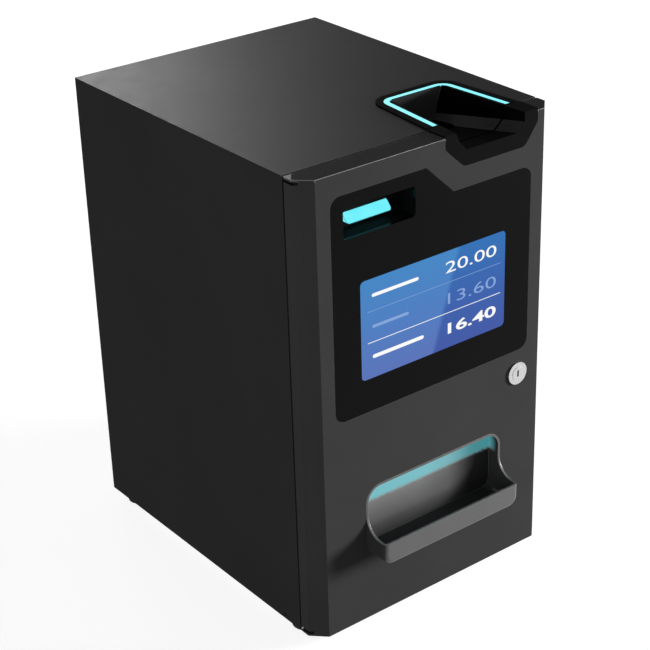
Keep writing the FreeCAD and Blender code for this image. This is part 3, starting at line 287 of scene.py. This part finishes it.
def inlet_plastic(name):
    """Black moulding with painted light and shade in its hollow.

    The slope and the rear wall are painted paler, the more so further in, and the other walls darker.
    """
    made = Shader(name, grey(23), rough=0.35, spec=0.0006)
    rim = made.tint(scale=14.0, amount=0.06)
    deep = made.math("SUBTRACT", made.axis("Y"), DOOR_FRONT)
    hollow = made.all_of(made.under(made.distance(made.axis("X"), INLET_X), HOLLOW_HALF),
                         made.under(made.axis("Z"), CABINET_TOP + HOLLOW_RIM),
                         made.over(deep, HOLLOW_FRONT),
                         made.under(deep, HOLLOW_BACK))
    slope = made.all_of(made.span(made.facing("Z"), 0.0, 1.0, *SLOPE_UP),
                        made.span(made.facing("X"), 1.0, 0.0, *SLOPE_LEFT))
    rear = made.all_of(made.over(deep, SLOPE_END),
                       made.under(made.facing("Y"), -0.5))
    # Painted light: paler further in, where less lamp light reaches.
    painted_light = made.ramp(made.span(deep, 0.0, 1.0, SLOPE_START, SLOPE_END),
                       (0.0, grey(SLOPE_LIT_FRONT)), (1.0, grey(SLOPE_LIT_BACK)))
    inside = made.mix(made.any_of(slope, rear), grey(HOLLOW_SHADE_GREY), painted_light)
    made.feed(made.mix(hollow, rim, inside), "Base Color")
    made.roughen(scale=90.0, low=0.31, high=0.4)
    made.bump(made.noise(900.0, detail=2.0), distance=0.03 * MM, strength=0.2)
    return made.material


# ---------------------------------------------------------------- plain materials

DRAWN_ALONG_Z = (1.0, 1.0, 0.05)                 # stretch of a noise into upright streaks
BOARD_GREEN = colour(18, 74, 38)


def moulded(name, level, rough, spec):
    """Injection-moulded plastic, or black oxide, with a fine even texture."""
    made = Shader(name, grey(level), rough, spec)
    made.tint(scale=14.0, amount=0.06)
    made.roughen(scale=90.0, low=rough - 0.04, high=rough + 0.05)
    made.bump(made.noise(900.0, detail=2.0), distance=0.03 * MM, strength=0.2)
    return made.material


def gloss_panel(name):
    """Back-printed gloss black cover with faint dust."""
    made = Shader(name, grey(10), rough=0.12, spec=0.04)
    made.tint(scale=5.0, amount=0.04)
    made.roughen(scale=35.0, low=0.10, high=0.16)
    made.bump(made.noise(18.0, detail=1.0), distance=0.02 * MM, strength=0.1)
    return made.material


def plated(name, level, rough, stretch=None):
    """Bright plated or brushed metal."""
    made = Shader(name, grey(level), rough, spec=0.5, metallic=1.0)
    made.tint(scale=30.0, amount=0.08)
    grain = made.noise(700.0, detail=4.0, stretch=stretch)
    made.feed(made.span(grain, rough - 0.07, rough + 0.1, NOISE_LOW, NOISE_HIGH), "Roughness")
    made.bump(grain, distance=0.01 * MM, strength=0.25)
    return made.material


def plain_metal(name, shade, rough):
    """Turned metal in its own colour."""
    made = Shader(name, shade, rough, spec=0.5, metallic=1.0)
    made.tint(scale=120.0, amount=0.1)
    made.roughen(scale=300.0, low=rough - 0.05, high=rough + 0.08)
    return made.material


def rubber(name, level):
    made = Shader(name, grey(level), rough=0.75, spec=0.3)
    made.tint(scale=60.0, amount=0.15)
    made.roughen(scale=200.0, low=0.68, high=0.85)
    made.bump(made.noise(2200.0, detail=3.0), distance=0.03 * MM, strength=0.4)
    return made.material


def circuit_board(name):
    """Green solder mask over a grid of lighter tracks, laid out in X and Z."""
    made = Shader(name, BOARD_GREEN, rough=0.35, spec=0.5)
    tracks = made.add("ShaderNodeTexBrick", Color1=BOARD_GREEN, Color2=colour(14, 62, 32),
                      Mortar=colour(52, 120, 66), Scale=160.0, Mortar_Size=0.06)
    turn = made.add("ShaderNodeMapping", Rotation=(math.pi / 2, 0, 0))
    made.link(made.point(), turn.inputs["Vector"])
    made.link(turn.outputs["Vector"], tracks.inputs["Vector"])
    made.feed(tracks.outputs["Color"], "Base Color")
    made.roughen(scale=300.0, low=0.3, high=0.42)
    made.bump(tracks.outputs["Fac"], distance=0.03 * MM, strength=0.4)
    return made.material


# ---------------------------------------------------------------- lamps and lit screen

CYAN = colour(119, 243, 255)
CYAN_DIM = colour(108, 238, 251)                 # between the single lamps
LAMP_EDGE = colour(8, 74, 80)                    # the diffuser is darker where it meets its frame
LAMP_EDGE_WIDTH = 1.1 * MM
SCREEN_GLOW = 0.95
SHEEN_SLANT = 0.18                               # how far the sheen's edge leans
SHEEN_EDGE = 0.664                               # where it meets the screen's top, as a share
SHEEN_BLUR = (-0.012, 0.02)                      # how far it blurs to the left and right, as shares


def light_bar(name, strength, dots):
    """Lit milky strip in which the single lamps can just be made out; dots is their noise's scale."""
    made = Shader(name, grey(14), rough=0.6, spec=0.05)
    ripple = made.noise(dots, detail=1.0)
    shade = made.ramp(ripple, (0.35, CYAN_DIM), (0.65, CYAN))
    made.glow(made.mix(made.edges(LAMP_EDGE_WIDTH), shade, LAMP_EDGE), strength)
    made.bump(ripple, distance=0.02 * MM, strength=0.2)
    return made.material


def screen_picture(name):
    """Lit blue picture: a gradient from top to bottom on either side of a slanting edge, with a
    painted sheen that makes the left side paler.
    """
    made = Shader(name, grey(8), rough=0.14, spec=0.06)
    across = made.span(made.axis("X"), 0.0, 1.0, SCREEN_LOW[0], SCREEN_HIGH[0])
    down = made.span(made.axis("Z"), 1.0, 0.0, SCREEN_LOW[2], SCREEN_HIGH[2])
    # Painted reflection: the colours left of the slanting edge are paler, as a sheen on the cover.
    left = made.ramp(down, (0.0, colour(66, 136, 200)), (0.55, colour(78, 126, 196)),
                     (1.0, colour(90, 115, 187)))
    right = made.ramp(down, (0.0, colour(46, 114, 186)), (0.5, colour(56, 98, 176)),
                      (1.0, colour(64, 88, 168)))
    slant = made.math("ADD", across, made.math("MULTIPLY", down, SHEEN_SLANT))
    side = made.span(slant, 0.0, 1.0, *(SHEEN_EDGE + blur for blur in SHEEN_BLUR))
    made.glow(made.mix(side, left, right), SCREEN_GLOW)
    made.roughen(scale=35.0, low=0.12, high=0.17)
    return made.material


def ink(name, shade):
    """Lit marks of the screen's picture."""
    made = Shader(name, grey(8), rough=0.14, spec=0.06)
    made.tint(scale=80.0, amount=0.03)
    made.glow(shade, 1.0)
    return made.material


# ---------------------------------------------------------------- coin tray

# gloss of the tray, and the lower gloss where shade is painted
TRAY_SPEC, SHADE_SPEC = 0.4, 0.05
TRAY_SHADE_GREY = 50                                   # grey of the painted shade
TRAY_HIGHLIGHT_GREY = 160                                  # grey of the painted highlight along the edges
TRAY_HIGHLIGHT_REACH = 0.5 * MM
FLOOR_UP = (0.5, 0.8)                            # upward part of a floor face's normal
FLOOR_TOP = TRAY_LOW[2] + 9 * MM                 # the floor's faces lie lower than this
WALL_LEFT = (-0.8, -0.6)                         # part of the normal of walls that look to the left
MOUTH_X = (30 * MM, 58 * MM)                     # painted shade darkens the corner under the coin mouth between these,
MOUTH_Y = (DOOR_FRONT + 1 * MM, DOOR_FRONT + 5 * MM)   # and between these

WASH = 0.44                                      # lamp light on the tray's back wall
WASH_RIGHT = 0.62 * WASH                         # what is left of it at WASH_FADE to the right
WASH_FADE = 60 * MM
WASH_LOW = TRAY_HIGH[2] - 32.6 * MM              # z of the wash's lower end
WASH_BLUR = 3 * MM
WASH_SPECKLE = 2.2 * MM                          # how far its lower end wavers
WASH_Y = (DOOR_FRONT + 3 * MM, DOOR_FRONT + 12 * MM)   # it comes up between these
SPILL = 0.1                                      # paler light that reaches further down the wall
SPILL_DEPTH = 30 * MM
SPILL_X = (-10 * MM, 45 * MM)                    # it dies away between these
WALL_MARGIN = 0.5 * MM                           # how far behind the lamps' rear face light may lie
TRAY_FLANGE = 7.3 * MM                           # flange and wall that lie outside the tray's hollow


def wash_tray(made):
    """Lamp light on the tray's back wall: a cyan band with a speckled lower end, paler light below it."""
    speckle = made.span(made.noise(1300.0, detail=2.0), -WASH_SPECKLE, WASH_SPECKLE, NOISE_LOW, NOISE_HIGH)
    height = made.math("ADD", made.axis("Z"), speckle)
    band = made.span(height, 0.0, 1.0, WASH_LOW, WASH_LOW + WASH_BLUR)
    fade = made.span(made.axis("X"), WASH, WASH_RIGHT, 0.0, WASH_FADE)
    down = made.span(made.axis("Z"), 0.0, SPILL, WASH_LOW - SPILL_DEPTH, WASH_LOW)
    spill = made.all_of(down, made.span(made.axis("X"), 1.0, 0.0, *SPILL_X))
    between_sides = made.under(made.distance(made.axis("X")), TRAY_HIGH[0] - TRAY_FLANGE)
    before_wall = made.under(made.axis("Y"), TRAY_LAMP_BACK + WALL_MARGIN)
    under_rim = made.under(made.axis("Z"), TRAY_HIGH[2] - TRAY_FLANGE)
    reach = made.all_of(made.span(made.axis("Y"), 0.0, 1.0, *WASH_Y),
                        made.all_of(between_sides, before_wall, under_rim))
    strength = made.mix(band, spill, fade)
    made.glow(made.mix(band, grey(250), CYAN), made.all_of(strength, reach))


def tray_grey(name):
    """Satin grey tray with a painted highlight along its edges, and painted shade, darker and less
    glossy, on its floor, on walls that look left and under the coin mouth.
    """
    made = Shader(name, grey(86), rough=0.42, spec=TRAY_SPEC)
    shade = made.tint(scale=20.0, amount=0.05)
    floor = made.all_of(made.span(made.facing("Z"), 0.0, 1.0, *FLOOR_UP),
                        made.under(made.axis("Z"), FLOOR_TOP))
    under_mouth = made.all_of(made.span(made.axis("X"), 0.0, 1.0, *MOUTH_X),
                              made.span(made.axis("Y"), 0.0, 1.0, *MOUTH_Y))
    walls = made.span(made.facing("X"), 1.0, 0.0, *WALL_LEFT)
    # Painted shade: the floor, walls that look left and the corner under the coin mouth.
    painted_shade = made.any_of(under_mouth, walls, floor)
    made.feed(made.span(painted_shade, TRAY_SPEC, SHADE_SPEC), "Specular IOR Level")
    # Painted highlight along the edges.
    made.paint_edge_highlight(made.mix(painted_shade, shade, grey(TRAY_SHADE_GREY)), grey(TRAY_HIGHLIGHT_GREY), TRAY_HIGHLIGHT_REACH)
    made.roughen(scale=140.0, low=0.36, high=0.46)
    made.bump(made.noise(1100.0, detail=2.0), distance=0.03 * MM, strength=0.25)
    wash_tray(made)
    return made.material


# ---------------------------------------------------------------- which node wears what

SAME_POINT = 0.002 * MM                          # points closer than this are joined
FLAT_ANGLE = math.radians(0.5)                   # faces that meet flatter than this become one
SHARP_ANGLE = math.radians(32)                   # edges sharper than this are rounded


def paint(material, *names):
    for name in names:
        slots = nodes[name].data.materials
        slots.clear()
        slots.append(material)


def soften(width, *names):
    """Rounds the sharp edges of sheet metal and mouldings, where they catch the light."""
    for name in names:
        modifiers = nodes[name].modifiers
        weld = modifiers.new("weld", "WELD")
        weld.merge_threshold = SAME_POINT
        flatten = modifiers.new("flatten", "DECIMATE")
        flatten.decimate_type = "DISSOLVE"
        flatten.angle_limit = FLAT_ANGLE
        bevel = modifiers.new("bevel", "BEVEL")
        bevel.width = width
        bevel.segments = 2
        bevel.limit_method = "ANGLE"
        bevel.angle_limit = SHARP_ANGLE
        bevel.use_clamp_overlap = True
        bevel.harden_normals = True


def dress_nodes():
    paint(powder_coat("cabinet_coat_black", level=50, rough=0.40, spec=0.003, edge_highlight=60, top_edge_highlight=130),
          "cabinet_shell", "rear_panel")
    paint(powder_coat("door_coat_grey", level=62, rough=0.62, spec=0.001, edge_highlight=80, top_edge_highlight=235,
                      pale_corner=True), "door_shell")
    paint(powder_coat("box_coat_grey", level=88, rough=0.5, spec=0.2, edge_highlight=130), "cash_box", "cash_box_lid")
    paint(powder_coat("frame_coat_black", level=36, rough=0.6, spec=0.002, edge_highlight=46),
          "front_frame", "door_hinge_lugs", "hinge_plate_bottom", "hinge_plate_top")
    paint(plated("zinc_sheet", level=168, rough=0.36), "base_plate", "coin_unit_frame",
          "note_recycler_frame", "motor_bracket", "lock_keeper", "board_standoffs")
    paint(plated("bright_plated", level=190, rough=0.24), "disc_shaft", "lock_cam", "lock_cam_screw",
          "lock_nut", "coin_disc")
    paint(plated("satin_chrome", level=190, rough=0.3), "lock_housing", "lock_plug")
    paint(plated("motor_can_steel", level=150, rough=0.32, stretch=DRAWN_ALONG_Z),
          "coin_motor", "note_motor")
    paint(plain_metal("turned_brass", colour(190, 150, 84), rough=0.3), "motor_pinion")
    paint(moulded("black_oxide_steel", level=22, rough=0.45, spec=0.01),
          "hinge_pins", "base_screws", "rear_screws", "foot_screws")
    paint(moulded("note_slot_black", level=6, rough=0.6, spec=0.05), "note_inlet_bezel")
    paint(moulded("black_plastic", level=24, rough=0.5, spec=0.35), "display_module", "tray_chute",
          "coin_exit_chute", "hopper_base", "hopper_bowl", "fan_frame", "switch_housing",
          "power_inlet", "data_ports", "coin_sensor", "power_supply")
    paint(moulded("rotor_black", level=30, rough=0.4, spec=0.4), "fan_rotor", "power_switch")
    paint(moulded("dark_grey_plastic", level=52, rough=0.5, spec=0.4),
          "note_unit_base", "note_unit_cover")
    paint(moulded("natural_acetal", level=214, rough=0.45, spec=0.4), "disc_gear", "note_drum")
    paint(rubber("roller_rubber_black", level=44), "note_drive_roller", "note_idler_roller")
    paint(rubber("foot_rubber_black", level=30), "rubber_feet")
    paint(inlet_plastic("inlet_black"), "coin_inlet_funnel", "coin_inlet_collar")
    paint(gloss_panel("gloss_black_cover"), "display_fascia")
    paint(screen_picture("lit_screen"), "display_screen")
    paint(tray_grey("tray_satin_grey"), "coin_tray")
    paint(light_bar("inlet_lamps", strength=1.0, dots=420.0), "inlet_light_strip")
    paint(light_bar("tray_lamps", strength=0.6, dots=420.0), "coin_tray_light")
    paint(light_bar("note_lamps", strength=1.0, dots=60.0), "note_inlet_light")
    paint(circuit_board("green_board"), "controller_board", "display_board")
    soften(0.8 * MM, "cabinet_shell", "door_shell")
    soften(0.3 * MM, "display_fascia")
    soften(0.5 * MM, "coin_tray")


# ---------------------------------------------------------------- marks on the screen

INK_Y = SCREEN_LOW[1] - 0.05 * MM                # the picture's marks lie on the screen
END_STEPS = 8                                    # straight pieces in a bar's round end
RULE_LEFT, RULE_RIGHT = -81 * MM, 83 * MM
CAPTION_LEFT = -75.5 * MM
FIGURE_HEIGHT = 11.5 * MM


def add_object(name, data):
    obj = bpy.data.objects.new(name, data)
    bpy.context.scene.collection.objects.link(obj)
    return obj


def add_mark(name, mesh, material):
    """Adds a mark of the screen's picture, which swings with the door."""
    mesh.materials.clear()
    mesh.materials.append(material)
    obj = add_object(name, mesh)
    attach(obj, "door")


def bar(name, left, right, drop, height, material):
    """A bar with round ends on the screen; drop is how far its middle is below the screen's top."""
    radius = height / 2
    middle = SCREEN_HIGH[2] - drop
    ring = []
    for centre, start in ((right - radius, -90), (left + radius, 90)):
        for step in range(END_STEPS + 1):
            turn = math.radians(start + 180 * step / END_STEPS)
            ring.append((centre + radius * math.cos(turn), middle + radius * math.sin(turn)))
    front = [(x, INK_Y, z) for x, z in ring]
    back = [(x, SCREEN_LOW[1], z) for x, z in ring]
    count = len(ring)
    faces = [tuple(range(count)), tuple(range(2 * count - 1, count - 1, -1))]
    faces += [(i, i + count, (i + 1) % count + count, (i + 1) % count) for i in range(count)]
    mesh = bpy.data.meshes.new(name)
    mesh.from_pydata(front + back, [], faces)
    mesh.update()
    add_mark(name, mesh, material)


def number(name, text, left, right, baseline, weight, material):
    """Plain figures fitted between two edges; baseline is measured down from the screen's top."""
    curve = bpy.data.curves.new(name, "FONT")
    curve.body = text
    curve.offset = weight
    curve.resolution_u = 6
    flat = add_object(name + "_curve", curve)
    bpy.context.view_layer.update()
    mesh = bpy.data.meshes.new_from_object(flat)
    bpy.data.objects.remove(flat)
    wide = [vertex.co.x for vertex in mesh.vertices]
    tall = [vertex.co.y for vertex in mesh.vertices]
    fit = Matrix.Diagonal(((right - left) / (max(wide) - min(wide)),
                           FIGURE_HEIGHT / (max(tall) - min(tall)), 1, 1))
    mesh.transform(fit @ Matrix.Translation((-min(wide), -min(tall), 0)))
    mesh.transform(Matrix.Translation((left, INK_Y, SCREEN_HIGH[2] - baseline))
                   @ Matrix.Rotation(math.pi / 2, 4, "X"))
    add_mark(name, mesh, material)


def make_screen_marks():
    """Two rules, three bars in place of captions, and three plain numbers."""
    white = ink("screen_white", grey(250))
    dim = ink("screen_dim", colour(132, 164, 216))
    bar("screen_line_1", RULE_LEFT, RULE_RIGHT, drop=32.3 * MM, height=0.5 * MM, material=dim)
    bar("screen_line_2", RULE_LEFT, RULE_RIGHT, drop=64.0 * MM, height=0.7 * MM, material=white)
    bar("screen_caption_1", CAPTION_LEFT, -20 * MM, drop=16.8 * MM, height=3.4 * MM, material=white)
    bar("screen_caption_2", CAPTION_LEFT, -32 * MM, drop=48.2 * MM, height=3.0 * MM, material=dim)
    bar("screen_caption_3", CAPTION_LEFT, -14 * MM, drop=79.0 * MM, height=3.8 * MM, material=white)
    number("screen_number_1", "20.00", 13 * MM, 77 * MM, baseline=22.6 * MM, weight=0.0, material=white)
    number("screen_number_2", "13.60", 16 * MM, 77 * MM, baseline=55.2 * MM, weight=-0.004, material=dim)
    number("screen_number_3", "16.40", 16 * MM, 77.5 * MM, baseline=86.6 * MM, weight=0.022, material=white)


# ---------------------------------------------------------------- camera

# The photograph's camera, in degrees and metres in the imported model's frame.
CAMERA_PLACE = Vector((-0.96979, -1.28551, 1.04979))
CAMERA_AZIMUTH = math.radians(-38.855)           # where it stands, from -Y towards +X
CAMERA_HEIGHT = math.radians(26.837)             # how far it looks down
CAMERA_ROLL = math.radians(-0.951)
CAMERA_LENS = 97.72                              # millimetres, for the sensor below
CAMERA_SENSOR = 36
CAMERA_REACH = 100
PHOTO_SIZE = 650                                 # pixels across and down
CENTRE_X = 375                                   # pixel column that the lens points at
CENTRE_Y = 323                                   # pixel row that the lens points at


def away(azimuth, height):
    """Unit vector that points away from the object; azimuth is from -Y towards +X."""
    return Vector((math.sin(azimuth) * math.cos(height),
                   -math.cos(azimuth) * math.cos(height),
                   math.sin(height)))


def make_camera():
    back = away(CAMERA_AZIMUTH, CAMERA_HEIGHT)
    side = (-back).cross(Vector((0, 0, 1))).normalized()
    top = side.cross(-back)
    right = side * math.cos(CAMERA_ROLL) + top * math.sin(CAMERA_ROLL)
    up = -side * math.sin(CAMERA_ROLL) + top * math.cos(CAMERA_ROLL)
    data = bpy.data.cameras.new("camera")
    data.lens = CAMERA_LENS
    data.sensor_width = CAMERA_SENSOR
    data.shift_x = (PHOTO_SIZE / 2 - CENTRE_X) / PHOTO_SIZE
    data.shift_y = (CENTRE_Y - PHOTO_SIZE / 2) / PHOTO_SIZE
    data.clip_end = CAMERA_REACH
    camera = add_object("camera", data)
    camera.matrix_world = Matrix((
        (right.x, up.x, back.x, CAMERA_PLACE.x),
        (right.y, up.y, back.y, CAMERA_PLACE.y),
        (right.z, up.z, back.z, CAMERA_PLACE.z),
        (0, 0, 0, 1)))
    bpy.context.scene.camera = camera


# ---------------------------------------------------------------- lights and floor

WHITE = (1, 1, 1, 1)
FLOOR_HALF = 12                                  # half the floor's width
FLOOR_BASE = (0.3, 0.3, 0.3, 1)
FLOOR_GLOW = 0.86                                # lifts the floor to the background's white


def seen_directly(tree):
    """1 for rays from the camera, and for those that a mirror or glass sends on."""
    path = tree.nodes.new("ShaderNodeLightPath")
    total = path.outputs["Is Camera Ray"]
    for name in ("Is Glossy Ray", "Is Transmission Ray"):
        most = tree.nodes.new("ShaderNodeMath")
        most.operation = "MAXIMUM"
        tree.links.new(total, most.inputs[0])
        tree.links.new(path.outputs[name], most.inputs[1])
        total = most.outputs["Value"]
    return total


def make_world(strength):
    """White background that lights the object at a strength of its own."""
    world = bpy.data.worlds.new("studio")
    world.use_nodes = True
    tree = world.node_tree
    background = tree.nodes["Background"]
    background.inputs["Color"].default_value = WHITE
    level = tree.nodes.new("ShaderNodeMapRange")
    level.inputs["To Min"].default_value = strength
    level.inputs["To Max"].default_value = 1.0
    tree.links.new(seen_directly(tree), level.inputs["Value"])
    tree.links.new(level.outputs["Result"], background.inputs["Strength"])
    bpy.context.scene.world = world


def make_floor():
    """White floor that keeps a soft shadow."""
    mesh = bpy.data.meshes.new("floor")
    corners = [(x * FLOOR_HALF, y * FLOOR_HALF, 0) for x, y in ((-1, -1), (1, -1), (1, 1), (-1, 1))]
    mesh.from_pydata(corners, [], [(0, 1, 2, 3)])
    floor = add_object("floor", mesh)
    material = bpy.data.materials.new("floor_white")
    material.use_nodes = True
    tree = material.node_tree
    main = tree.nodes["Principled BSDF"]
    main.inputs["Base Color"].default_value = FLOOR_BASE
    main.inputs["Roughness"].default_value = 1.0
    main.inputs["Specular IOR Level"].default_value = 0.0
    main.inputs["Emission Color"].default_value = WHITE
    level = tree.nodes.new("ShaderNodeMath")
    level.operation = "MULTIPLY"
    level.inputs[1].default_value = FLOOR_GLOW
    tree.links.new(seen_directly(tree), level.inputs[0])
    tree.links.new(level.outputs["Value"], main.inputs["Emission Strength"])
    mesh.materials.append(material)


def soft_lamp(name, azimuth, height, distance, width, watts, diffuse=True):
    """Square lamp that faces the object, placed by two angles in degrees.

    Without diffuse it is a reflector card, which only shows as a sheen.
    """
    back = away(math.radians(azimuth), math.radians(height))
    data = bpy.data.lights.new(name, "AREA")
    data.shape = "SQUARE"
    data.size = width
    data.energy = watts
    lamp = add_object(name, data)
    lamp.location = Vector((0, 0, CABINET_TOP / 2)) + back * distance
    lamp.rotation_euler = back.to_track_quat("Z", "Y").to_euler()
    lamp.visible_diffuse = diffuse


def make_studio():
    make_world(strength=0.18)
    make_floor()
    soft_lamp("key_lamp", azimuth=60, height=6, distance=2.6, width=0.75, watts=114)
    soft_lamp("fill_lamp", azimuth=-70, height=6, distance=2.6, width=0.9, watts=21)
    soft_lamp("back_lamp", azimuth=165, height=3, distance=2.6, width=0.9, watts=40)
    soft_lamp("rear_card", azimuth=178, height=42, distance=1.9, width=1.8, watts=440, diffuse=False)
    view = bpy.context.scene.view_settings
    view.view_transform = "Standard"


make_camera()
dress_nodes()
make_screen_marks()
make_studio()
